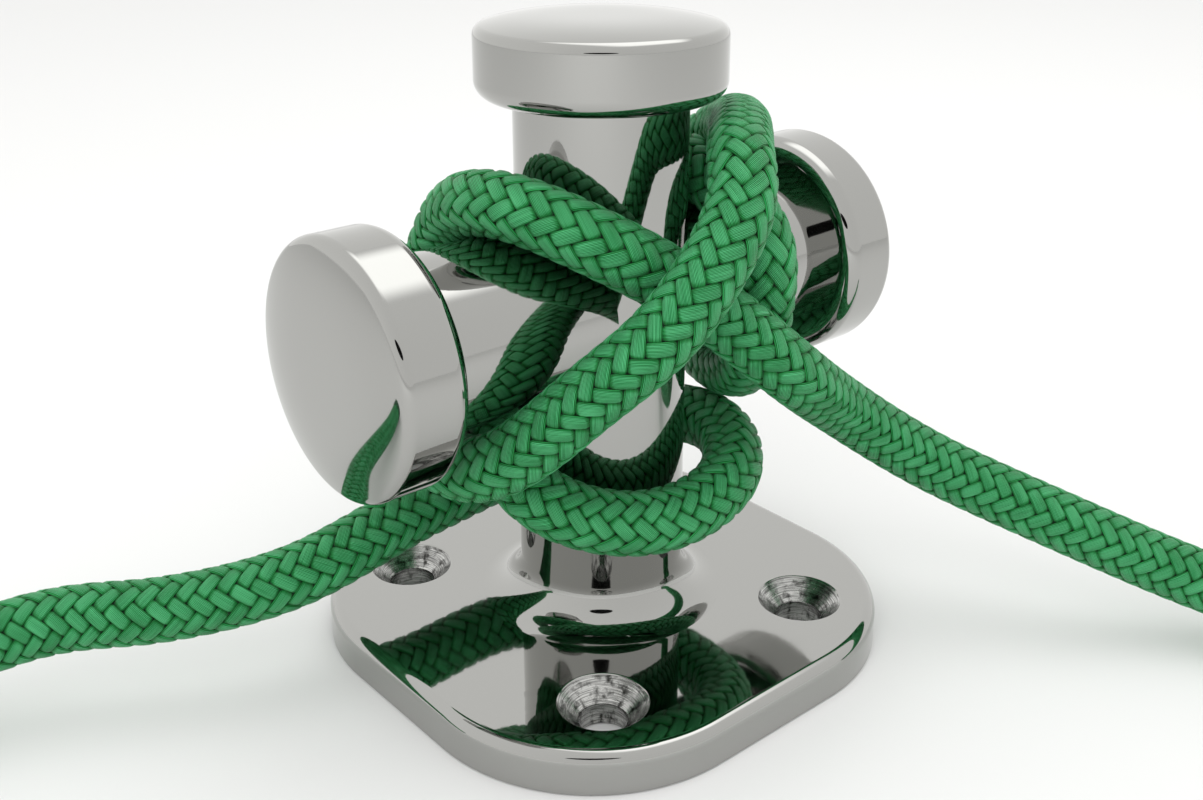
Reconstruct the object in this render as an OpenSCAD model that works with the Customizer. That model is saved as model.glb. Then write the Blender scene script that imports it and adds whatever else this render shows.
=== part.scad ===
// Cross-shaped mooring bollard on a bolt-down plate, with a plaited rope made fast round it.
// Millimetres, +Z up. The origin is the centre of the plate's underside.
// +X runs along the cross arm towards its far end, +Y towards the back.

/* [Base plate] */
// Side of the square base plate
plate_side = 122; // [100:1:160]
// Corner radius of the base plate
plate_corner_r = 43; // [20:1:48]
// Thickness of the base plate
plate_t = 10; // [8:0.5:14]
// Hole spacing along X
hole_spacing_x = 64; // [60:1:72]
// Hole spacing along Y
hole_spacing_y = 76; // [70:1:80]
// Diameter of the straight part of each bolt hole
hole_d = 11; // [6:0.5:13]
// Diameter of the countersink at the top face
sink_d = 20.5; // [16:0.5:24]

/* [Post and arms] */
// Diameter of the post and of the cross arm
bar_d = 40; // [30:1:44]
// Height of the underside of the top cap above the plate's underside
post_top_z = 134.5; // [125:0.5:160]
// Height of the cross arm's axis above the plate's underside
arm_z = 87; // [75:0.5:95]
// Distance from the post's axis to the inner face of each arm cap
arm_reach = 56.5; // [50:0.5:70]
// Radius of the hollow curve where the post meets the plate
foot_r = 10; // [6:0.5:14]

/* [Caps] */
// Diameter of the three end caps
cap_d = 57; // [50:1:64]
// Thickness of each cap at its rim
cap_t = 15.5; // [10:0.5:22]
// Rounding of a cap's outer edge
cap_outer_round = 2.5; // [0.5:0.5:4]
// Rounding of a cap's inner edge
cap_inner_round = 4; // [1:0.5:6]
// Height of the bulge of a cap's face, above where its edge would be square
cap_dome = 2.5; // [0.5:0.5:4]

/* [Rope] */
// Diameter of the rope
rope_d = 15; // [12:0.5:15]
// Number of flat sides round the rope's solid
rope_sides = 10; // [8:1:12]
// Length of the whipping at each rope end
whipping_length = 18; // [10:1:25]
// How far the whipping stands out from the rope all round
whipping_t = 0.6; // [0.4:0.1:1]

/* [Hidden] */

steel = [0.78, 0.78, 0.77];
rope_green = [0.08, 0.42, 0.25];
twine = [0.05, 0.22, 0.12];

bar_r = bar_d / 2;
cap_r = cap_d / 2;
rope_r = rope_d / 2;
hole_r = hole_d / 2;
sink_r = sink_d / 2;
// The foot's hollow curve stops this far short of its tangent point, so that it has no feather edge.
foot_edge = 1;
foot_rim_r = bar_r + foot_r - foot_edge;
// The arms stop this far from the post's axis, for the same reason.
cope_gap = 4;
// The bulge of a cap's face is flat in the middle and falls away with this power of the radius.
dome_power = 4;
round_fn = 96;
edge_steps = 8;
dome_steps = 12;
clear = 1;

// The rope's centre line, from its left end, round the post and both arms, to its right end
rope_route = [
    [-236, 62, 9], [-182, 58, 14], [-128, 54, 22], [-99, 40, 23],
    [-71, 28, 26], [-41, 27, 31], [-9, 29, 33], [19, 21, 42],
    [31, -5, 47], [18, -26, 44], [-8, -27, 41], [-27, -10, 47],
    [-25, 12, 60], [-15, 25, 72], [4, 30, 85], [25, 18, 113],
    [25, -22, 107], [24, -29, 86], [33, -14, 64], [44, 15, 61],
    [41, 29, 81], [40, 24, 101], [41, 0, 121], [14, -30, 125],
    [1, -42, 115], [-15, -41, 96], [-29, -30, 79], [-42, -7, 58],
    [-40, 24, 64], [-28, 25, 99], [-30, 4, 114], [-21, -19, 110],
    [0, -31, 95], [20, -41, 76], [44, -38, 58], [67, -49, 40],
    [85, -75, 28], [105, -101, 16], [118, -126, 11], [131, -149, 9]
];
last_point = len(rope_route) - 1;
rings_per_stretch = 2;
left_whipping_end = whipping_length / norm(rope_route[1] - rope_route[0]);
right_whipping_end = last_point
    - whipping_length / norm(rope_route[last_point] - rope_route[last_point - 1]);

// A point of the route, or one on its straight continuation past either end
function route_point(i) =
    i < 0 ? rope_route[0] + i * (rope_route[1] - rope_route[0])
    : i > last_point
        ? rope_route[last_point]
            + (i - last_point) * (rope_route[last_point] - rope_route[last_point - 1])
    : rope_route[i];

// Slope of the rope at a point of the route, from the two points on each side of it
function route_slope(i) =
    (8 * (route_point(i + 1) - route_point(i - 1))
        - (route_point(i + 2) - route_point(i - 2))) / 12;

// Position between points i and i + 1 at the fraction u, on a cubic curve
function route_between(i, u) =
    (2 * pow(u, 3) - 3 * pow(u, 2) + 1) * route_point(i)
    + (pow(u, 3) - 2 * pow(u, 2) + u) * route_slope(i)
    + (3 * pow(u, 2) - 2 * pow(u, 3)) * route_point(i + 1)
    + (pow(u, 3) - pow(u, 2)) * route_slope(i + 1);

// Position s points along the route
function route_at(s) =
    let (i = min(floor(s), last_point - 1)) route_between(i, s - i);

function unit(v) = v / norm(v);

// Direction of a list of ring centres at ring k
function heading(centres, k) =
    unit(centres[min(k + 1, len(centres) - 1)] - centres[max(k - 1, 0)]);

// One side direction for each ring from ring k on, carried along without twist
function side_directions(centres, k, before) =
    k == len(centres) ? []
    : let (
        ahead = heading(centres, k),
        side = unit(before - (before * ahead) * ahead)
    )
    concat([side], side_directions(centres, k + 1, side));

// A closed tube swept along a list of ring centres
module swept_tube(centres, radius) {
    rings = len(centres);
    side_of = side_directions(centres, 0, cross([0, 0, 1], heading(centres, 0)));
    step = 360 / rope_sides;
    points = [
        for (k = [0 : rings - 1])
            let (up = cross(heading(centres, k), side_of[k]))
            for (j = [0 : rope_sides - 1])
                centres[k] + radius * (cos(j * step) * side_of[k] + sin(j * step) * up)
    ];
    walls = [
        for (k = [0 : rings - 2], j = [0 : rope_sides - 1])
            let (
                here = k * rope_sides + j,
                next = k * rope_sides + (j + 1) % rope_sides
            )
            each [
                [here, here + rope_sides, next + rope_sides],
                [here, next + rope_sides, next]
            ]
    ];
    start_face = [for (j = [0 : rope_sides - 1]) j];
    end_face = [for (j = [1 : rope_sides]) rings * rope_sides - j];
    polyhedron(points = points, faces = concat(walls, [start_face, end_face]));
}

// Outline of the plate: a square with round corners
module plate_outline() {
    corner = plate_side / 2 - plate_corner_r;
    square([plate_side, 2 * corner], center = true);
    square([2 * corner, plate_side], center = true);
    for (x = [-corner, corner], y = [-corner, corner])
        translate([x, y]) circle(r = plate_corner_r, $fn = round_fn);
}

// One countersunk bolt hole, as the space that is cut away
module bolt_hole() {
    sink_depth = sink_r - hole_r;
    translate([0, 0, -clear])
        cylinder(r = hole_r, h = plate_t + 2 * clear, $fn = round_fn);
    translate([0, 0, plate_t - sink_depth])
        cylinder(r1 = hole_r, r2 = sink_r, h = sink_depth, $fn = round_fn);
    translate([0, 0, plate_t])
        cylinder(r = sink_r, h = clear, $fn = round_fn);
}

module base_plate() {
    color(steel)
        difference() {
            linear_extrude(plate_t) plate_outline();
            for (x = [-1, 1], y = [-1, 1])
                translate([x * hole_spacing_x / 2, y * hole_spacing_y / 2, 0]) bolt_hole();
        }
}

// The round post, with a hollow curve at its foot
module post() {
    color(steel)
        union() {
            translate([0, 0, plate_t])
                cylinder(r = bar_r, h = post_top_z - plate_t, $fn = round_fn);
            translate([0, 0, plate_t])
                rotate_extrude($fn = round_fn)
                    difference() {
                        square([foot_rim_r, foot_r]);
                        translate([bar_r + foot_r, foot_r]) circle(r = foot_r, $fn = round_fn);
                    }
        }
}

// One arm of the cross along +X, with its inner end shaped to sit on the round post
module arm() {
    color(steel)
        difference() {
            translate([cope_gap, 0, arm_z])
                rotate([0, 90, 0])
                    cylinder(r = bar_r, h = arm_reach - cope_gap, $fn = round_fn);
            translate([0, 0, arm_z - cap_r])
                cylinder(r = bar_r, h = 2 * cap_r, $fn = round_fn);
        }
}

module near_arm() {
    mirror([1, 0, 0]) arm();
}

module far_arm() {
    arm();
}

// Height of a cap's face above its inner face at the radius r
function face_z(r) = cap_t + cap_dome * (1 - pow(r / cap_r, dome_power));

// Slope of a cap's face at the radius r, in degrees
function face_slope(r) = atan(cap_dome * dome_power * pow(r / cap_r, dome_power - 1) / cap_r);

// Points on an arc about the centre [x, z], from the angle start to the angle end
function arc_points(centre, radius, start, end) =
    [for (k = [0 : edge_steps])
        let (a = start + (end - start) * k / edge_steps)
        centre + radius * [cos(a), sin(a)]];

// Half of a cap's section, with its inner face on the X axis and both edges rounded
module cap_section() {
    edge_slope = face_slope(cap_r - cap_outer_round);
    edge_r = cap_r - cap_outer_round + cap_outer_round * sin(edge_slope);
    edge_z = face_z(edge_r) - cap_outer_round * cos(edge_slope);
    inner_edge = arc_points(
        [cap_r - cap_inner_round, cap_inner_round], cap_inner_round, -90, 0
    );
    outer_edge = arc_points(
        [cap_r - cap_outer_round, edge_z], cap_outer_round, 0, 90 - edge_slope
    );
    face = [for (k = [1 : dome_steps]) let (r = edge_r * (1 - k / dome_steps)) [r, face_z(r)]];
    polygon(concat([[0, 0]], inner_edge, outer_edge, face));
}

module cap() {
    color(steel) rotate_extrude($fn = round_fn) cap_section();
}

module top_cap() {
    translate([0, 0, post_top_z]) cap();
}

module near_cap() {
    translate([-arm_reach, 0, arm_z]) rotate([0, -90, 0]) cap();
}

module far_cap() {
    translate([arm_reach, 0, arm_z]) rotate([0, 90, 0]) cap();
}

// The rope between its two whippings
module mooring_rope() {
    first_ring = ceil(left_whipping_end * rings_per_stretch);
    last_ring = floor(right_whipping_end * rings_per_stretch);
    stations = concat(
        [left_whipping_end],
        [for (k = [first_ring : last_ring]) k / rings_per_stretch],
        [right_whipping_end]
    );
    color(rope_green) swept_tube([for (s = stations) route_at(s)], rope_r);
}

module left_whipping() {
    color(twine)
        swept_tube([route_at(0), route_at(left_whipping_end)], rope_r + whipping_t);
}

module right_whipping() {
    color(twine)
        swept_tube([route_at(right_whipping_end), route_at(last_point)], rope_r + whipping_t);
}

base_plate();
post();
near_arm();
far_arm();
top_cap();
near_cap();
far_cap();
mooring_rope();
left_whipping();
right_whipping();
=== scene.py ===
import math

import bmesh
import bpy
import numpy as np
from mathutils import Matrix, Vector


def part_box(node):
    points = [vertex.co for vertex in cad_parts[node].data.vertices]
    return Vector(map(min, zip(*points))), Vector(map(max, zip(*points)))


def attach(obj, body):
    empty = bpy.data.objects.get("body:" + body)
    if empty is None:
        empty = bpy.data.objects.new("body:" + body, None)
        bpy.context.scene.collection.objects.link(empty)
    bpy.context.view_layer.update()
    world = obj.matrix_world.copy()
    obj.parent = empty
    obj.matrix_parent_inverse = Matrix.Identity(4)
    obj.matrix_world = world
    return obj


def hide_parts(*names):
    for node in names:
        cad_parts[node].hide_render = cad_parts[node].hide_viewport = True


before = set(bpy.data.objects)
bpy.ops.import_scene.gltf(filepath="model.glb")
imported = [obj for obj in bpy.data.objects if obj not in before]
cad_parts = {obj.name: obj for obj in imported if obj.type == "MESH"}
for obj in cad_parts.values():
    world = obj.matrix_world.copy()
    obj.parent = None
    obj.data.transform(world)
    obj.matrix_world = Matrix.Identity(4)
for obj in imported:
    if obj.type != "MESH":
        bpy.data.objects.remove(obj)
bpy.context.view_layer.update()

MM = 0.001
BODY = "root"


# ---------------------------------------------------------------- camera

CAMERA_AZIMUTH = math.radians(-40.615)
CAMERA_ELEVATION = math.radians(19.307)
CAMERA_PLACE = Vector((-0.19976, -0.23308, 0.19805))
CAMERA_LENS_MM = 41.58
CAMERA_SHIFT_Y = -0.0998


def make_camera():
    """The camera, at the photograph's angle and distance, with its frame shifted a little."""
    towards_camera = Vector((
        math.sin(CAMERA_AZIMUTH) * math.cos(CAMERA_ELEVATION),
        -math.cos(CAMERA_AZIMUTH) * math.cos(CAMERA_ELEVATION),
        math.sin(CAMERA_ELEVATION),
    ))
    data = bpy.data.cameras.new("camera")
    data.sensor_width = 36.0
    data.lens = CAMERA_LENS_MM
    data.shift_y = CAMERA_SHIFT_Y
    data.clip_start = 0.01
    data.clip_end = 20.0
    camera = bpy.data.objects.new("camera", data)
    camera.location = CAMERA_PLACE
    camera.rotation_euler = (-towards_camera).to_track_quat("-Z", "Y").to_euler()
    bpy.context.collection.objects.link(camera)
    bpy.context.scene.camera = camera


make_camera()


# ---------------------------------------------------------------- sizes, read from the CAD frame

plate_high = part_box("base_plate")[1]
post_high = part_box("post")[1]
top_low, top_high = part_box("top_cap")
far_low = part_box("far_cap")[0]
arm_low, arm_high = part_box("far_arm")

PLATE_HALF = plate_high.x
PLATE_TOP = plate_high.z
PLATE_CORNER_R = 43 * MM
PLATE_EDGE_R = 3.0 * MM
HOLE_X = 32 * MM
HOLE_Y = 38 * MM
HOLE_R = 5.5 * MM
SINK_R = 10.25 * MM
SINK_EDGE_R = 0.25 * MM
POST_TOP = post_high.z
BAR_R = arm_high.y
ARM_Z = (arm_high.z + arm_low.z) / 2
ARM_REACH = far_low.x
FOOT_R = 10 * MM
CAP_R = top_high.x
CAP_DOME = 2.5 * MM
DOME_POWER = 4
CAP_T = top_high.z - top_low.z - CAP_DOME
CAP_OUTER_ROUND = 2.5 * MM
CAP_INNER_ROUND = 4.0 * MM
BAR_STEPS = 6
CORNER_STEPS = 48
HOLE_SIDES = 96


# ---------------------------------------------------------------- materials

def new_material(name):
    """A node material with its Principled shader."""
    material = bpy.data.materials.new(name)
    material.use_nodes = True
    shader = material.node_tree.nodes["Principled BSDF"]
    return material, material.node_tree, shader


def add_node(tree, kind, **values):
    """A shader node with the given input and property values."""
    node = tree.nodes.new(kind)
    for key, value in values.items():
        if key in node.inputs:
            node.inputs[key].default_value = value
        else:
            setattr(node, key, value)
    return node


def polished_steel():
    """Mirror-polished stainless steel: faint polishing haze, hairlines and handling marks."""
    material, tree, shader = new_material("polished_steel")
    shader.inputs["Base Color"].default_value = (0.392, 0.392, 0.378, 1)
    shader.inputs["Metallic"].default_value = 1.0
    place = add_node(tree, "ShaderNodeTexCoord")
    haze = add_node(tree, "ShaderNodeTexNoise", Scale=55.0, Detail=5.0, Roughness=0.6)
    tree.links.new(place.outputs["Object"], haze.inputs["Vector"])
    haze_range = add_node(tree, "ShaderNodeMapRange")
    haze_range.inputs["From Min"].default_value = 0.35
    haze_range.inputs["From Max"].default_value = 0.75
    haze_range.inputs["To Min"].default_value = 0.025
    haze_range.inputs["To Max"].default_value = 0.075
    tree.links.new(haze.outputs["Fac"], haze_range.inputs["Value"])
    tree.links.new(haze_range.outputs["Result"], shader.inputs["Roughness"])
    swell = add_node(tree, "ShaderNodeTexNoise", Scale=28.0, Detail=1.0)
    tree.links.new(place.outputs["Object"], swell.inputs["Vector"])
    stretch = add_node(tree, "ShaderNodeMapping")
    stretch.inputs["Scale"].default_value = (900.0, 900.0, 60.0)
    tree.links.new(place.outputs["Object"], stretch.inputs["Vector"])
    hairs = add_node(tree, "ShaderNodeTexNoise", Scale=1.0, Detail=3.0)
    tree.links.new(stretch.outputs["Vector"], hairs.inputs["Vector"])
    swell_bump = add_node(tree, "ShaderNodeBump", Strength=0.10, Distance=0.0006)
    tree.links.new(swell.outputs["Fac"], swell_bump.inputs["Height"])
    hair_bump = add_node(tree, "ShaderNodeBump", Strength=0.02, Distance=0.00005)
    tree.links.new(hairs.outputs["Fac"], hair_bump.inputs["Height"])
    tree.links.new(swell_bump.outputs["Normal"], hair_bump.inputs["Normal"])
    tree.links.new(hair_bump.outputs["Normal"], shader.inputs["Normal"])
    return material


def machined_steel():
    """Turned steel in the bolt holes: bright rings and dark grime that follow the tool."""
    material, tree, shader = new_material("machined_steel")
    shader.inputs["Metallic"].default_value = 1.0
    place = add_node(tree, "ShaderNodeTexCoord")
    one_corner = add_node(tree, "ShaderNodeVectorMath", operation="ABSOLUTE")
    tree.links.new(place.outputs["Object"], one_corner.inputs[0])
    from_hole = add_node(tree, "ShaderNodeVectorMath", operation="SUBTRACT")
    from_hole.inputs[1].default_value = (HOLE_X, HOLE_Y, 0)
    tree.links.new(one_corner.outputs["Vector"], from_hole.inputs[0])
    flat = add_node(tree, "ShaderNodeVectorMath", operation="MULTIPLY")
    flat.inputs[1].default_value = (1, 1, 0)
    tree.links.new(from_hole.outputs["Vector"], flat.inputs[0])
    heading = add_node(tree, "ShaderNodeVectorMath", operation="NORMALIZE")
    tree.links.new(flat.outputs["Vector"], heading.inputs[0])
    radius = add_node(tree, "ShaderNodeVectorMath", operation="LENGTH")
    tree.links.new(flat.outputs["Vector"], radius.inputs[0])
    height = add_node(tree, "ShaderNodeSeparateXYZ")
    tree.links.new(from_hole.outputs["Vector"], height.inputs["Vector"])
    up_the_wall = add_node(tree, "ShaderNodeMath", operation="ADD")
    tree.links.new(radius.outputs["Value"], up_the_wall.inputs[0])
    tree.links.new(height.outputs["Z"], up_the_wall.inputs[1])

    def ring_noise(round_scale, wall_scale):
        """Noise drawn out round the hole: cells per turn, and cells per metre up its wall."""
        wall = add_node(tree, "ShaderNodeCombineXYZ")
        tree.links.new(up_the_wall.outputs["Value"], wall.inputs["Z"])
        spread = add_node(tree, "ShaderNodeVectorMath", operation="MULTIPLY")
        spread.inputs[1].default_value = (0, 0, wall_scale)
        tree.links.new(wall.outputs["Vector"], spread.inputs[0])
        mix = add_node(tree, "ShaderNodeVectorMath", operation="MULTIPLY_ADD")
        mix.inputs[1].default_value = (round_scale, round_scale, round_scale)
        tree.links.new(heading.outputs["Vector"], mix.inputs[0])
        tree.links.new(spread.outputs["Vector"], mix.inputs[2])
        noise = add_node(tree, "ShaderNodeTexNoise", Scale=1.0, Detail=3.0, Roughness=0.6)
        tree.links.new(mix.outputs["Vector"], noise.inputs["Vector"])
        return noise

    rings = ring_noise(1.3, 2600.0)
    grime = ring_noise(3.2, 330.0)
    clean = add_node(tree, "ShaderNodeValToRGB")
    clean.color_ramp.elements[0].position = 0.34
    clean.color_ramp.elements[0].color = (0.16, 0.16, 0.155, 1)
    clean.color_ramp.elements[1].position = 0.62
    clean.color_ramp.elements[1].color = (0.58, 0.58, 0.565, 1)
    tree.links.new(rings.outputs["Fac"], clean.inputs["Fac"])
    dirty = add_node(tree, "ShaderNodeValToRGB")
    dirty.color_ramp.elements[0].position = 0.32
    dirty.color_ramp.elements[0].color = (0.10, 0.10, 0.095, 1)
    dirty.color_ramp.elements[1].position = 0.50
    dirty.color_ramp.elements[1].color = (1, 1, 1, 1)
    tree.links.new(grime.outputs["Fac"], dirty.inputs["Fac"])
    both = add_node(tree, "ShaderNodeMix", data_type="RGBA", blend_type="MULTIPLY")
    both.inputs["Factor"].default_value = 1.0
    tree.links.new(clean.outputs["Color"], both.inputs["A"])
    tree.links.new(dirty.outputs["Color"], both.inputs["B"])
    tree.links.new(both.outputs["Result"], shader.inputs["Base Color"])
    dull = add_node(tree, "ShaderNodeMapRange")
    dull.inputs["To Min"].default_value = 0.12
    dull.inputs["To Max"].default_value = 0.36
    tree.links.new(grime.outputs["Fac"], dull.inputs["Value"])
    tree.links.new(dull.outputs["Result"], shader.inputs["Roughness"])
    bump = add_node(tree, "ShaderNodeBump", Strength=0.35, Distance=0.0001)
    tree.links.new(rings.outputs["Fac"], bump.inputs["Height"])
    tree.links.new(bump.outputs["Normal"], shader.inputs["Normal"])
    return material


def rope_green():
    """Plaited polyester: fine yarns along each strand with random fibre and dye colour, painted
    highlights on the raised yarns and painted shade between them and down in the grooves, a soft
    sheen.
    """
    material, tree, shader = new_material("rope_green")
    shader.inputs["Roughness"].default_value = 0.42
    shader.inputs["Sheen Weight"].default_value = 0.08
    shader.inputs["Sheen Roughness"].default_value = 0.35
    shader.inputs["Sheen Tint"].default_value = (0.6, 0.95, 0.7, 1)
    shader.inputs["Specular IOR Level"].default_value = 0.22
    along = add_node(tree, "ShaderNodeUVMap", uv_map="strand")
    yarn_scale = add_node(tree, "ShaderNodeMapping")
    yarn_scale.inputs["Scale"].default_value = (0.25, 1.9, 1.0)
    tree.links.new(along.outputs["UV"], yarn_scale.inputs["Vector"])
    yarns = add_node(tree, "ShaderNodeTexWave", wave_type="BANDS", bands_direction="Y",
                     wave_profile="SIN", Scale=1.0, Distortion=2.2, Detail=2.0)
    yarns.inputs["Detail Scale"].default_value = 1.2
    tree.links.new(yarn_scale.outputs["Vector"], yarns.inputs["Vector"])
    fibre_scale = add_node(tree, "ShaderNodeMapping")
    fibre_scale.inputs["Scale"].default_value = (7.0, 26.0, 1.0)
    tree.links.new(along.outputs["UV"], fibre_scale.inputs["Vector"])
    fibres = add_node(tree, "ShaderNodeTexNoise", Scale=1.0, Detail=3.0, Roughness=0.65)
    tree.links.new(fibre_scale.outputs["Vector"], fibres.inputs["Vector"])
    height = add_node(tree, "ShaderNodeMath", operation="MULTIPLY_ADD")
    height.inputs[1].default_value = 0.6
    tree.links.new(yarns.outputs["Fac"], height.inputs[0])
    tree.links.new(fibres.outputs["Fac"], height.inputs[2])
    strand_scale = add_node(tree, "ShaderNodeMapping")
    strand_scale.inputs["Scale"].default_value = (9.0, 0.3, 1.0)
    tree.links.new(along.outputs["UV"], strand_scale.inputs["Vector"])
    dye = add_node(tree, "ShaderNodeTexNoise", Scale=1.0, Detail=1.0)
    tree.links.new(strand_scale.outputs["Vector"], dye.inputs["Vector"])
    # Painted highlight and shade: the yarn heights that drive the bump also make the colour lighter
    # on the raised yarns and darker between them; the fibre and dye noise add random colour
    # variation.
    fibre_tone_and_painted_light = add_node(tree, "ShaderNodeMath", operation="MULTIPLY_ADD")
    fibre_tone_and_painted_light.inputs[1].default_value = 0.7
    tree.links.new(dye.outputs["Fac"], fibre_tone_and_painted_light.inputs[0])
    tree.links.new(height.outputs["Value"], fibre_tone_and_painted_light.inputs[2])
    # The ramp's light end is the painted highlight on the yarns, and its dark end is the painted
    # shade between them.
    shade = add_node(tree, "ShaderNodeValToRGB")
    shade.color_ramp.elements[0].position = 0.66
    shade.color_ramp.elements[0].color = (0.0010, 0.152, 0.027, 1)
    shade.color_ramp.elements[1].position = 0.93
    shade.color_ramp.elements[1].color = (0.120, 0.615, 0.262, 1)
    fit_ramp = add_node(tree, "ShaderNodeMath", operation="MULTIPLY")
    fit_ramp.inputs[1].default_value = 0.66
    tree.links.new(fibre_tone_and_painted_light.outputs["Value"], fit_ramp.inputs[0])
    tree.links.new(fit_ramp.outputs["Value"], shade.inputs["Fac"])
    # Painted shade: the colour is darkened nearly to black down between the strands, where the
    # depth attribute is low, with a lighter step on the strand flanks.
    depth = add_node(tree, "ShaderNodeAttribute", attribute_name="depth")
    groove = add_node(tree, "ShaderNodeMix", data_type="RGBA", blend_type="MULTIPLY")
    groove.inputs["Factor"].default_value = 1.0
    painted_groove_shade = add_node(tree, "ShaderNodeValToRGB")
    painted_groove_shade.color_ramp.elements[0].position = 0.60
    painted_groove_shade.color_ramp.elements[0].color = (0.0005, 0.030, 0.006, 1)
    painted_groove_shade.color_ramp.elements[1].position = 0.94
    painted_groove_shade.color_ramp.elements[1].color = (1, 1, 1, 1)
    flank = painted_groove_shade.color_ramp.elements.new(0.82)
    flank.color = (0.22, 0.60, 0.34, 1)
    tree.links.new(depth.outputs["Fac"], painted_groove_shade.inputs["Fac"])
    tree.links.new(shade.outputs["Color"], groove.inputs["A"])
    tree.links.new(painted_groove_shade.outputs["Color"], groove.inputs["B"])
    tree.links.new(groove.outputs["Result"], shader.inputs["Base Color"])
    bump = add_node(tree, "ShaderNodeBump", Strength=0.9, Distance=0.0003)
    tree.links.new(height.outputs["Value"], bump.inputs["Height"])
    tree.links.new(bump.outputs["Normal"], shader.inputs["Normal"])
    return material


def whipping_twine():
    """Waxed twine: a dark green cord with a fine twist."""
    material, tree, shader = new_material("whipping_twine")
    shader.inputs["Roughness"].default_value = 0.5
    place = add_node(tree, "ShaderNodeTexCoord")
    twist = add_node(tree, "ShaderNodeTexNoise", Scale=2600.0, Detail=3.0)
    tree.links.new(place.outputs["Object"], twist.inputs["Vector"])
    shade = add_node(tree, "ShaderNodeValToRGB")
    shade.color_ramp.elements[0].position = 0.3
    shade.color_ramp.elements[0].color = (0.006, 0.045, 0.018, 1)
    shade.color_ramp.elements[1].position = 0.75
    shade.color_ramp.elements[1].color = (0.020, 0.130, 0.050, 1)
    tree.links.new(twist.outputs["Fac"], shade.inputs["Fac"])
    tree.links.new(shade.outputs["Color"], shader.inputs["Base Color"])
    bump = add_node(tree, "ShaderNodeBump", Strength=0.5, Distance=0.00015)
    tree.links.new(twist.outputs["Fac"], bump.inputs["Height"])
    tree.links.new(bump.outputs["Normal"], shader.inputs["Normal"])
    return material


STEEL = polished_steel()
MACHINED = machined_steel()
ROPE = rope_green()
TWINE = whipping_twine()


# ---------------------------------------------------------------- the rope

# The rope's centre line in millimetres, the same points as in part.scad
ROPE_ROUTE = [
    [-236, 62, 9], [-182, 58, 14], [-128, 54, 22], [-99, 40, 23],
    [-71, 28, 26], [-41, 27, 31], [-9, 29, 33], [19, 21, 42],
    [31, -5, 47], [18, -26, 44], [-8, -27, 41], [-27, -10, 47],
    [-25, 12, 60], [-15, 25, 72], [4, 30, 85], [25, 18, 113],
    [25, -22, 107], [24, -29, 86], [33, -14, 64], [44, 15, 61],
    [41, 29, 81], [40, 24, 101], [41, 0, 121], [14, -30, 125],
    [1, -42, 115], [-15, -41, 96], [-29, -30, 79], [-42, -7, 58],
    [-40, 24, 64], [-28, 25, 99], [-30, 4, 114], [-21, -19, 110],
    [0, -31, 95], [20, -41, 76], [44, -38, 58], [67, -49, 40],
    [85, -75, 28], [105, -101, 16], [118, -126, 11], [131, -149, 9],
]
ROPE_D = 15 * MM
WHIPPING_LENGTH = 18 * MM
WHIPPING_BITE = 0.07
WHIPPING_TAPER = 2 * MM
ROPE_STEP = 0.7 * MM
STRANDS_EACH_WAY = 10
TILE_PITCH = 4.45 * MM
BRAID_PITCH = STRANDS_EACH_WAY * TILE_PITCH
BRAID_MEAN_R = 6.0 * MM
BRAID_LIFT = 0.6 * MM
LIFT_STEEPNESS = 3.4
STRAND_HALF_WIDTH = 1.46 * MM
STRAND_TOP = 0.9 * MM
STRAND_BOTTOM = 0.35 * MM
CORE_R = 5.3 * MM
CORE_SIDES = 16
PROFILE_SIDES = 16
ACROSS_ROUNDNESS = 0.62
HEIGHT_ROUNDNESS = 0.78
UV_PER_METRE = 10
UV_STRAND_SHIFT = 5.3
UV_WAY_SHIFT = 60
PLAIT_START = 5 * MM
TWINE_R = 0.55 * MM
TWINE_START = 2.4 * MM
TWINE_SIDES = 10
TWINE_STEPS_PER_TURN = 28
TIP_START = 0.2 * MM
TIP_R = ROPE_D / 2 * 0.94
TIP_DOME = 2.6 * MM
TIP_LENGTH = 6.5 * MM
TIP_SIDES = 72
TIP_ROUNDNESS = 2.6


def route_position(points, s):
    """Place on the route, s points from its start, on a cubic curve through the points."""
    first = points[0]
    last = points[-1]
    start_step = points[1] - first
    end_step = last - points[-2]
    padded = np.vstack([first - 2 * start_step, first - start_step, points,
                        last + end_step, last + 2 * end_step])
    slopes = (8 * (padded[3:-1] - padded[1:-3]) - (padded[4:] - padded[:-4])) / 12
    i = np.minimum(np.floor(s).astype(int), len(points) - 2)
    u = (s - i)[:, None]
    return ((2 * u**3 - 3 * u**2 + 1) * points[i] + (u**3 - 2 * u**2 + u) * slopes[i]
            + (3 * u**2 - 2 * u**3) * points[i + 1] + (u**3 - u**2) * slopes[i + 1])


def even_line(points, step):
    """The route as evenly spaced points, and its length."""
    fine = route_position(points, np.linspace(0, len(points) - 1, 60 * len(points)))
    along = np.r_[0, np.cumsum(np.linalg.norm(np.diff(fine, axis=0), axis=1))]
    count = int(round(along[-1] / step)) + 1
    even = np.linspace(0, along[-1], count)
    line = np.stack([np.interp(even, along, fine[:, k]) for k in range(3)], axis=1)
    return line, along[-1]


def carried_frames(line):
    """Headings of a line, with side directions carried along it without twist."""
    ahead = np.gradient(line, axis=0)
    ahead /= np.linalg.norm(ahead, axis=1)[:, None]
    side = np.cross([0, 0, 1], ahead[0])
    side /= np.linalg.norm(side)
    sides = []
    for direction in ahead:
        side = side - side.dot(direction) * direction
        side /= np.linalg.norm(side)
        sides.append(side)
    sides = np.array(sides)
    return ahead, sides, np.cross(ahead, sides)


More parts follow.
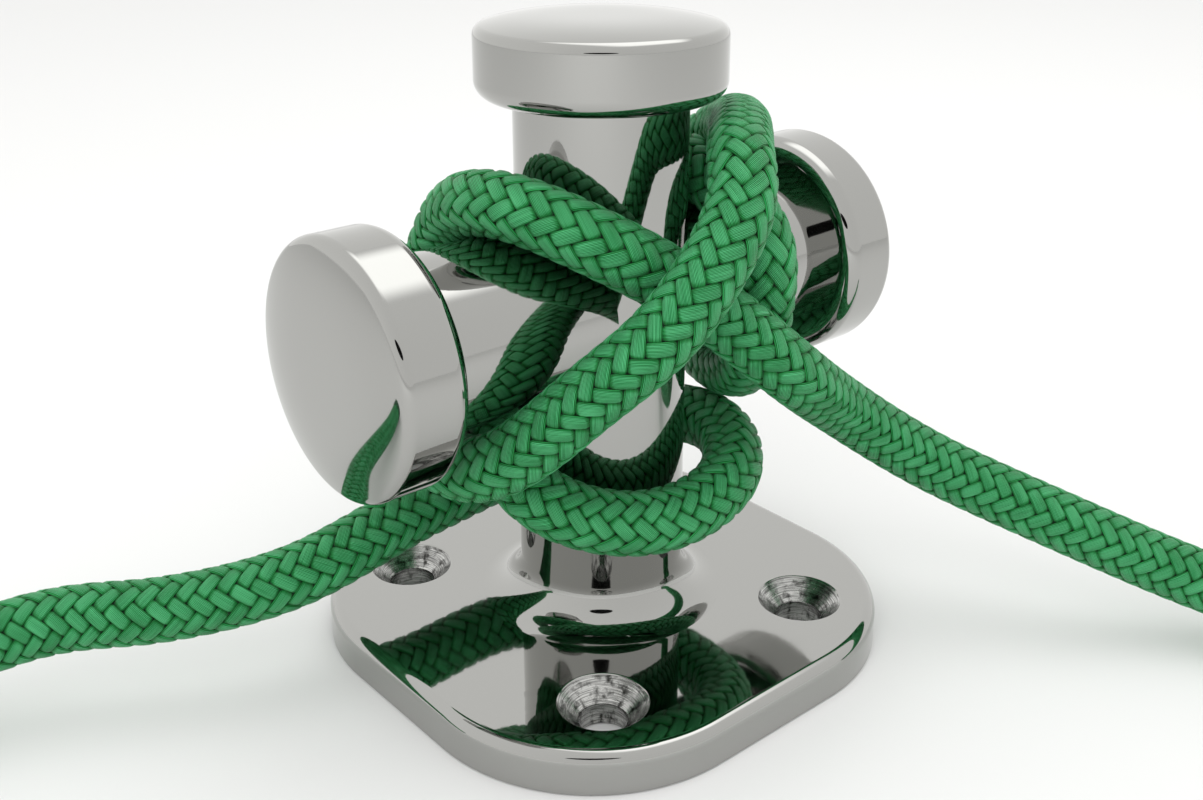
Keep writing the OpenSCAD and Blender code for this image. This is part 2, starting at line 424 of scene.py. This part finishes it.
class RopeLine:
    """The rope's centre line with its frames, and places round it."""

    def __init__(self, points):
        self.line, self.length = even_line(points, ROPE_STEP)
        self.ahead, self.side, self.up = carried_frames(self.line)

    def at(self, s, angle, radius):
        """Points at the distance s along the rope, the angle round it and the radius."""
        k = np.clip(s / self.length, 0, 1) * (len(self.line) - 1)
        i = np.minimum(k.astype(int), len(self.line) - 2)
        f = (k - i)[..., None]
        centre = self.line[i] * (1 - f) + self.line[i + 1] * f
        side = self.side[i] * (1 - f) + self.side[i + 1] * f
        up = self.up[i] * (1 - f) + self.up[i + 1] * f
        over = (s - np.clip(s, 0, self.length))[..., None]
        centre = centre + over * self.ahead[i]
        return centre + radius[..., None] * (np.cos(angle)[..., None] * side
                                             + np.sin(angle)[..., None] * up)


def grid_faces(rows, columns, first=0):
    """Quads of a grid of vertices that closes on itself across its columns."""
    r, c = np.meshgrid(np.arange(rows - 1), np.arange(columns), indexing="ij")
    n = (c + 1) % columns
    quads = np.stack([r * columns + c, r * columns + n, (r + 1) * columns + n,
                      (r + 1) * columns + c], axis=-1)
    return (quads + first).reshape(-1, 4)


def strand_section():
    """Across-strand places from -1 to 1 and heights of a strand's rounded section."""
    turn = np.linspace(0, 2 * math.pi, PROFILE_SIDES, endpoint=False)
    across = np.sign(np.cos(turn)) * np.abs(np.cos(turn)) ** ACROSS_ROUNDNESS
    lift = np.sign(np.sin(turn)) * np.abs(np.sin(turn)) ** HEIGHT_ROUNDNESS
    height = np.where(lift > 0, lift * STRAND_TOP, lift * STRAND_BOTTOM)
    return across, height


def braid_strand(rope, number, turn_way, s):
    """Vertices, UVs and groove depth of one strand of the plait."""
    across, height = strand_section()
    slope = math.atan(2 * math.pi * BRAID_MEAN_R / BRAID_PITCH)
    s_grid = s[:, None] - turn_way * math.sin(slope) * STRAND_HALF_WIDTH * across[None, :]
    turns = number / STRANDS_EACH_WAY + turn_way * s / BRAID_PITCH
    angle = (2 * math.pi * turns)[:, None]
    angle = angle + math.cos(slope) * STRAND_HALF_WIDTH * across[None, :] / BRAID_MEAN_R
    middle = np.broadcast_to(angle.mean(axis=1, keepdims=True), angle.shape)
    column = middle * STRANDS_EACH_WAY / math.pi
    wave = np.cos(2 * math.pi * (column - 0.5) / 4) * turn_way
    lift = np.tanh(wave * LIFT_STEEPNESS) / math.tanh(LIFT_STEEPNESS) * BRAID_LIFT
    radius = BRAID_MEAN_R + lift + height[None, :]
    end_gap = np.minimum(s, rope.length - s)[:, None]
    bite = np.clip((WHIPPING_LENGTH - end_gap) / WHIPPING_TAPER, 0, 1)
    radius = radius * (1 - WHIPPING_BITE * bite)
    place = rope.at(s_grid, angle, radius)
    run = s / math.cos(slope)
    own_start = UV_STRAND_SHIFT * number + UV_WAY_SHIFT * turn_way
    along = run[:, None] * UV_PER_METRE + own_start
    uv = np.stack(np.broadcast_arrays(along, across[None, :]), axis=-1)
    depth = (radius - CORE_R) / (ROPE_D / 2 - CORE_R)
    return place.reshape(-1, 3), uv.reshape(-1, 2), depth.reshape(-1)


def rope_mesh(rope, start, end):
    """The plait from start to end, as strands that pass over and under, round a core."""
    s = np.arange(start, end, ROPE_STEP)
    places, uvs, depths, faces = [], [], [], []
    count = 0
    for turn_way in (1, -1):
        for number in range(STRANDS_EACH_WAY):
            place, uv, depth = braid_strand(rope, number, turn_way, s)
            places.append(place)
            uvs.append(uv)
            depths.append(depth)
            faces.append(grid_faces(len(s), PROFILE_SIDES, count))
            count += len(place)
    core_turn = np.linspace(0, 2 * math.pi, CORE_SIDES, endpoint=False)
    core_s, core_angle = np.meshgrid(s, core_turn, indexing="ij")
    core = rope.at(core_s, core_angle, np.full_like(core_s, CORE_R)).reshape(-1, 3)
    places.append(core)
    uvs.append(np.zeros((len(core), 2)))
    depths.append(np.zeros(len(core)))
    faces.append(grid_faces(len(s), CORE_SIDES, count))
    return np.vstack(places), np.vstack(uvs), np.concatenate(depths), np.vstack(faces)


def mesh_object(name, vertices, faces, material):
    """A smooth-shaded object made of quads."""
    mesh = bpy.data.meshes.new(name)
    mesh.vertices.add(len(vertices))
    mesh.vertices.foreach_set("co", np.asarray(vertices, np.float32).ravel())
    mesh.loops.add(faces.size)
    mesh.loops.foreach_set("vertex_index", faces.ravel().astype(np.int32))
    mesh.polygons.add(len(faces))
    mesh.polygons.foreach_set("loop_start", np.arange(0, faces.size, 4, dtype=np.int32))
    mesh.update(calc_edges=True)
    mesh.polygons.foreach_set("use_smooth", np.ones(len(faces), dtype=bool))
    mesh.materials.append(material)
    obj = bpy.data.objects.new(name, mesh)
    bpy.context.collection.objects.link(obj)
    return obj


def make_rope(rope):
    """The plaited rope, whose ends run in under the two whippings."""
    vertices, uvs, depths, faces = rope_mesh(rope, PLAIT_START, rope.length - PLAIT_START)
    obj = mesh_object("mooring_rope_plait", vertices, faces, ROPE)
    layer = obj.data.uv_layers.new(name="strand")
    layer.data.foreach_set("uv", uvs[faces.ravel()].astype(np.float32).ravel())
    attribute = obj.data.attributes.new("depth", "FLOAT", "POINT")
    attribute.data.foreach_set("value", depths.astype(np.float32))
    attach(obj, BODY)
    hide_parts("mooring_rope")
    return obj


def make_whipping(rope, name, node, start, end):
    """Turns of twine round one rope end, laid as a close helix."""
    turns = int(abs(end - start) / (2 * TWINE_R)) - 3
    inward = 1 if end > start else -1
    count = turns * TWINE_STEPS_PER_TURN
    t = np.arange(count + 1) / TWINE_STEPS_PER_TURN
    s = start + inward * (TWINE_START + t * 2 * TWINE_R)
    angle = 2 * math.pi * t
    ring = np.linspace(0, 2 * math.pi, TWINE_SIDES, endpoint=False)
    s_grid = s[:, None] + TWINE_R * np.cos(ring)[None, :]
    r_grid = (ROPE_D / 2 + np.zeros(len(s)))[:, None] + TWINE_R * np.sin(ring)[None, :]
    a_grid = np.broadcast_to(angle[:, None], s_grid.shape)
    vertices = rope.at(s_grid, a_grid, r_grid).reshape(-1, 3)
    obj = mesh_object(name, vertices, grid_faces(len(s), TWINE_SIDES), TWINE)
    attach(obj, BODY)
    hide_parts(node)
    return obj


def make_rope_end(rope, name, s_tip, inward):
    """The heat-sealed tip of the rope, a low dome that runs on under the whipping."""
    run = np.r_[np.linspace(0, TIP_DOME, 18), TIP_LENGTH]
    t = np.minimum(run / TIP_DOME, 1)
    radius = TIP_R * np.sqrt(1 - (1 - t) ** TIP_ROUNDNESS)
    s = s_tip + inward * run
    turn = np.linspace(0, 2 * math.pi, TIP_SIDES, endpoint=False)
    s_grid, angle = np.meshgrid(s, turn, indexing="ij")
    r_grid = np.broadcast_to(radius[:, None], s_grid.shape)
    vertices = rope.at(s_grid, angle, r_grid).reshape(-1, 3)
    obj = mesh_object(name, vertices, grid_faces(len(run), TIP_SIDES), TWINE)
    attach(obj, BODY)
    return obj


rope_points = np.array(ROPE_ROUTE, float) * MM
rope = RopeLine(rope_points)
plait = make_rope(rope)
left_wraps = make_whipping(rope, "left_whipping_turns", "left_whipping", 0,
                           WHIPPING_LENGTH)
right_wraps = make_whipping(rope, "right_whipping_turns", "right_whipping", rope.length,
                            rope.length - WHIPPING_LENGTH)
left_tip = make_rope_end(rope, "left_rope_tip", TIP_START, 1)
right_tip = make_rope_end(rope, "right_rope_tip", rope.length - TIP_START, -1)


# ---------------------------------------------------------------- the polished fitting

def arc(centre_r, centre_z, radius, start_deg, end_deg, steps):
    """Points (r, z) on an arc."""
    turns = [math.radians(a) for a in np.linspace(start_deg, end_deg, steps + 1)]
    return [(centre_r + radius * math.cos(a), centre_z + radius * math.sin(a)) for a in turns]


def finish_steel(obj, node):
    """Smooth shading that keeps flat faces flat, and the CAD node that the piece stands for."""
    obj.data.polygons.foreach_set("use_smooth", [True] * len(obj.data.polygons))
    obj.data.materials.append(STEEL)
    normals = obj.modifiers.new("even_normals", "WEIGHTED_NORMAL")
    normals.weight = 100
    normals.keep_sharp = True
    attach(obj, BODY)
    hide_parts(node)


TURNED_SIDES = 192
ON_AXIS = 1e-7


def lathe(name, profile, place):
    """A turned piece: profile points (r, z) round +Z, then moved by the matrix."""
    mesh = bpy.data.meshes.new(name)
    build = bmesh.new()
    rings = []
    for r, z in profile:
        if r < ON_AXIS:
            rings.append([build.verts.new((0, 0, z))])
            continue
        rings.append([
            build.verts.new((r * math.cos(a), r * math.sin(a), z))
            for a in (2 * math.pi * k / TURNED_SIDES for k in range(TURNED_SIDES))
        ])
    for low, high in zip(rings, rings[1:]):
        for k in range(TURNED_SIDES):
            n = (k + 1) % TURNED_SIDES
            corners = [low[k % len(low)], low[n % len(low)],
                       high[n % len(high)], high[k % len(high)]]
            build.faces.new(list(dict.fromkeys(corners)))
    bmesh.ops.recalc_face_normals(build, faces=build.faces)
    build.transform(place)
    build.to_mesh(mesh)
    build.free()
    obj = bpy.data.objects.new(name, mesh)
    bpy.context.collection.objects.link(obj)
    return obj


def face_height(r):
    """Height of a cap's face above its inner face at the radius r."""
    return CAP_T + CAP_DOME * (1 - (r / CAP_R) ** DOME_POWER)


def cap_profile():
    """A cap's section, from the middle of its inner face round to the middle of its outer face."""
    out = (CAP_R - CAP_OUTER_ROUND) / CAP_R
    slope = math.atan(CAP_DOME * DOME_POWER * out ** (DOME_POWER - 1) / CAP_R)
    edge_r = CAP_R - CAP_OUTER_ROUND * (1 - math.sin(slope))
    edge_z = face_height(edge_r) - CAP_OUTER_ROUND * math.cos(slope)
    profile = [(0, 0), (CAP_R - CAP_INNER_ROUND - 0.5 * MM, 0)]
    profile += arc(CAP_R - CAP_INNER_ROUND, CAP_INNER_ROUND, CAP_INNER_ROUND, -90, 0, 16)
    profile += arc(CAP_R - CAP_OUTER_ROUND, edge_z, CAP_OUTER_ROUND, 0,
                   90 - math.degrees(slope), 10)
    face_steps = 36
    for k in range(1, face_steps + 1):
        r = edge_r * (1 - k / face_steps)
        profile.append((r, face_height(r)))
    return profile


def make_caps():
    """The three equal end caps."""
    lying = Matrix.Rotation(math.radians(90), 4, "Y")
    places = {
        "top_cap": Matrix.Translation((0, 0, POST_TOP)),
        "far_cap": Matrix.Translation((ARM_REACH, 0, ARM_Z)) @ lying,
        "near_cap": Matrix.Translation((-ARM_REACH, 0, ARM_Z)) @ lying.inverted(),
    }
    for node, place in places.items():
        finish_steel(lathe(node + "_polished", cap_profile(), place), node)


def make_post():
    """The post with the hollow curve at its foot."""
    foot = arc(BAR_R + FOOT_R, PLATE_TOP + FOOT_R, FOOT_R, -92, -180, 28)
    profile = [(r, max(z, PLATE_TOP)) for r, z in foot]
    foot_top = PLATE_TOP + FOOT_R
    profile += [(BAR_R, foot_top + k * (POST_TOP - foot_top) / BAR_STEPS)
                for k in range(1, BAR_STEPS + 1)]
    finish_steel(lathe("post_polished", profile, Matrix.Identity(4)), "post")


def make_arms():
    """The two arms, each run a little way into the post."""
    lying = Matrix.Rotation(math.radians(90), 4, "Y")
    inside = 12 * MM
    profile = [(BAR_R, inside + k * (ARM_REACH - inside) / BAR_STEPS)
               for k in range(BAR_STEPS + 1)]
    place = Matrix.Translation((0, 0, ARM_Z)) @ lying
    finish_steel(lathe("far_arm_polished", profile, place), "far_arm")
    place = Matrix.Translation((0, 0, ARM_Z)) @ lying.inverted()
    finish_steel(lathe("near_arm_polished", profile, place), "near_arm")


def plate_outline(inset):
    """Outline of the plate, a square with round corners, moved in by inset."""
    corner = PLATE_HALF - PLATE_CORNER_R
    radius = PLATE_CORNER_R - inset
    points = []
    for quarter, (x, y) in enumerate(((1, 1), (-1, 1), (-1, -1), (1, -1))):
        for k in range(CORNER_STEPS + 1):
            a = math.radians(90 * quarter + 90 * k / CORNER_STEPS)
            points.append((x * corner + radius * math.cos(a),
                           y * corner + radius * math.sin(a)))
    return points


def ring_of(build, points, z):
    """A closed ring of vertices at one height."""
    return [build.verts.new((x, y, z)) for x, y in points]


def bridge(build, rings, slot=0):
    """Quads between rings of equal count, in the numbered material slot."""
    for low, high in zip(rings, rings[1:]):
        for k in range(len(low)):
            n = (k + 1) % len(low)
            face = build.faces.new((low[k], low[n], high[n], high[k]))
            face.material_index = slot


def fill_between(build, loops):
    """Flat triangles between closed rings that lie at one height."""
    edges = []
    for loop in loops:
        for k in range(len(loop)):
            pair = (loop[k], loop[(k + 1) % len(loop)])
            edges.append(build.edges.get(pair) or build.edges.new(pair))
    bmesh.ops.triangle_fill(build, edges=edges, use_beauty=True)


def hole_profile():
    """Section (r, z) of a bolt hole: a straight bore, then a countersink with turning marks."""
    cone_z = PLATE_TOP - (SINK_R - HOLE_R)
    marks = 18
    mark_depth = 0.05 * MM
    lower_edge = 0.2 * MM
    profile = [(HOLE_R + lower_edge, 0.0), (HOLE_R, lower_edge), (HOLE_R, cone_z)]
    for k in range(1, 2 * marks):
        t = k / (2 * marks)
        r = HOLE_R + t * (SINK_R - HOLE_R - SINK_EDGE_R)
        profile.append((r, cone_z + r - HOLE_R - mark_depth * (k % 2)))
    profile.append((SINK_R - SINK_EDGE_R, PLATE_TOP - SINK_EDGE_R))
    profile.append((SINK_R, PLATE_TOP - SINK_EDGE_R * 0.25))
    profile.append((SINK_R + SINK_EDGE_R * 0.6, PLATE_TOP))
    return profile


def make_plate():
    """The plate: rounded top edge, four countersunk holes, flat underside."""
    mesh = bpy.data.meshes.new("base_plate_polished")
    build = bmesh.new()
    lower_edge = 0.3 * MM
    side = [(lower_edge, 0.0), (0.0, lower_edge)]
    side += [(PLATE_EDGE_R - r, z) for r, z in
             arc(0, PLATE_TOP - PLATE_EDGE_R, PLATE_EDGE_R, 0, 90, 10)]
    rings = [ring_of(build, plate_outline(inset), z) for inset, z in side]
    bridge(build, rings)
    top_loops = [rings[-1]]
    under_loops = [rings[0]]
    hole = hole_profile()
    for x in (-HOLE_X, HOLE_X):
        for y in (-HOLE_Y, HOLE_Y):
            hole_rings = []
            for r, z in hole:
                around = [(x + r * math.cos(a), y + r * math.sin(a))
                          for a in (2 * math.pi * k / HOLE_SIDES for k in range(HOLE_SIDES))]
                hole_rings.append(ring_of(build, around, z))
            bridge(build, hole_rings[:-2], slot=1)
            bridge(build, hole_rings[-3:])
            under_loops.append(hole_rings[0])
            top_loops.append(hole_rings[-1])
    fill_between(build, top_loops)
    fill_between(build, under_loops)
    bmesh.ops.recalc_face_normals(build, faces=build.faces)
    build.to_mesh(mesh)
    build.free()
    obj = bpy.data.objects.new("base_plate_polished", mesh)
    bpy.context.collection.objects.link(obj)
    finish_steel(obj, "base_plate")
    obj.data.materials.append(MACHINED)


make_caps()
make_post()
make_arms()
make_plate()


# ---------------------------------------------------------------- floor and light

def make_floor():
    """A plain pale floor."""
    half = 3.0
    mesh = bpy.data.meshes.new("floor")
    mesh.from_pydata([(-half, -half, 0), (half, -half, 0), (half, half, 0), (-half, half, 0)],
                     [], [(0, 1, 2, 3)])
    floor = bpy.data.objects.new("floor", mesh)
    floor.location.z = -0.2 * MM
    bpy.context.collection.objects.link(floor)
    material, _, shader = new_material("floor_paper")
    shader.inputs["Base Color"].default_value = (0.77, 0.77, 0.77, 1)
    shader.inputs["Roughness"].default_value = 0.9
    mesh.materials.append(material)


def make_fill():
    """A weak light from the left that lifts the shadows and leaves no mark in the polish."""
    data = bpy.data.lights.new("fill", "AREA")
    data.size = 0.9
    data.energy = 3.6
    fill = bpy.data.objects.new("fill", data)
    fill.location = (-0.65, -0.55, 0.65)
    fill.rotation_euler = fill.location.to_track_quat("Z", "Y").to_euler()
    fill.visible_glossy = False
    bpy.context.collection.objects.link(fill)


def make_overhead_panel():
    """One large soft panel overhead, bright in the middle and fading into the tent at its edges."""
    half_x = 0.50
    half_y = 0.50
    mesh = bpy.data.meshes.new("overhead_panel")
    mesh.from_pydata([(-half_x, -half_y, 0), (-half_x, half_y, 0), (half_x, half_y, 0),
                      (half_x, -half_y, 0)], [], [(0, 1, 2, 3)])
    panel = bpy.data.objects.new("overhead_panel", mesh)
    panel.location = (0.36, 0.10, 0.95)
    panel.visible_camera = False
    bpy.context.collection.objects.link(panel)
    material, tree, shader = new_material("panel_glow")
    shader.inputs["Base Color"].default_value = (0.0, 0.0, 0.0, 1)
    shader.inputs["Emission Color"].default_value = (1.0, 1.0, 0.99, 1)
    place = add_node(tree, "ShaderNodeTexCoord")
    parts = add_node(tree, "ShaderNodeSeparateXYZ")
    tree.links.new(place.outputs["Generated"], parts.inputs["Vector"])
    fades = []
    for axis in ("X", "Y"):
        wave = add_node(tree, "ShaderNodeMath", operation="PINGPONG")
        wave.inputs[1].default_value = 0.5
        tree.links.new(parts.outputs[axis], wave.inputs[0])
        fade = add_node(tree, "ShaderNodeMapRange", interpolation_type="SMOOTHSTEP")
        fade.inputs["From Max"].default_value = 0.28
        tree.links.new(wave.outputs["Value"], fade.inputs["Value"])
        fades.append(fade)
    both = add_node(tree, "ShaderNodeMath", operation="MULTIPLY")
    tree.links.new(fades[0].outputs["Result"], both.inputs[0])
    tree.links.new(fades[1].outputs["Result"], both.inputs[1])
    glow = add_node(tree, "ShaderNodeMath", operation="MULTIPLY_ADD")
    glow.inputs[1].default_value = 1.4
    glow.inputs[2].default_value = 1.03
    tree.links.new(both.outputs["Value"], glow.inputs[0])
    tree.links.new(glow.outputs["Value"], shader.inputs["Emission Strength"])
    mesh.materials.append(material)


def make_camera_gap():
    """The dark gap where a camera looks into a light tent, seen in the polish and nowhere else."""
    half_width = 0.090
    half_height = 0.038
    corners = 48
    turns = [2 * math.pi * k / corners for k in range(corners)]
    mesh = bpy.data.meshes.new("camera_gap")
    mesh.from_pydata([(half_width * math.cos(a), half_height * math.sin(a), 0) for a in turns],
                     [], [range(corners)])
    gap = bpy.data.objects.new("camera_gap", mesh)
    camera = bpy.context.scene.camera
    gap.rotation_euler = camera.rotation_euler
    gap.location = CAMERA_PLACE * 1.12
    gap.visible_camera = False
    gap.visible_diffuse = False
    gap.visible_shadow = False
    gap.visible_transmission = False
    bpy.context.collection.objects.link(gap)
    material, _, shader = new_material("camera_gap_dark")
    shader.inputs["Base Color"].default_value = (0.01, 0.01, 0.01, 1)
    shader.inputs["Roughness"].default_value = 1.0
    shader.inputs["Specular IOR Level"].default_value = 0.0
    mesh.materials.append(material)


def make_studio():
    """A white light tent, a soft panel overhead, a weak fill light and the camera's dark gap."""
    world = bpy.data.worlds.new("light_tent")
    world.use_nodes = True
    tree = world.node_tree
    place = add_node(tree, "ShaderNodeTexCoord")
    parts = add_node(tree, "ShaderNodeSeparateXYZ")
    tree.links.new(place.outputs["Generated"], parts.inputs["Vector"])
    front_to_back = add_node(tree, "ShaderNodeMapRange")
    front_to_back.inputs["From Min"].default_value = -1.0
    front_to_back.inputs["To Min"].default_value = 1.0
    front_to_back.inputs["To Max"].default_value = 1.16
    tree.links.new(parts.outputs["Y"], front_to_back.inputs["Value"])
    background = tree.nodes["Background"]
    background.inputs["Color"].default_value = (1.0, 1.0, 0.985, 1)
    tree.links.new(front_to_back.outputs["Result"], background.inputs["Strength"])
    bpy.context.scene.world = world
    make_overhead_panel()
    make_fill()
    make_camera_gap()


make_floor()
make_studio()
bpy.context.scene.view_settings.view_transform = "Standard"
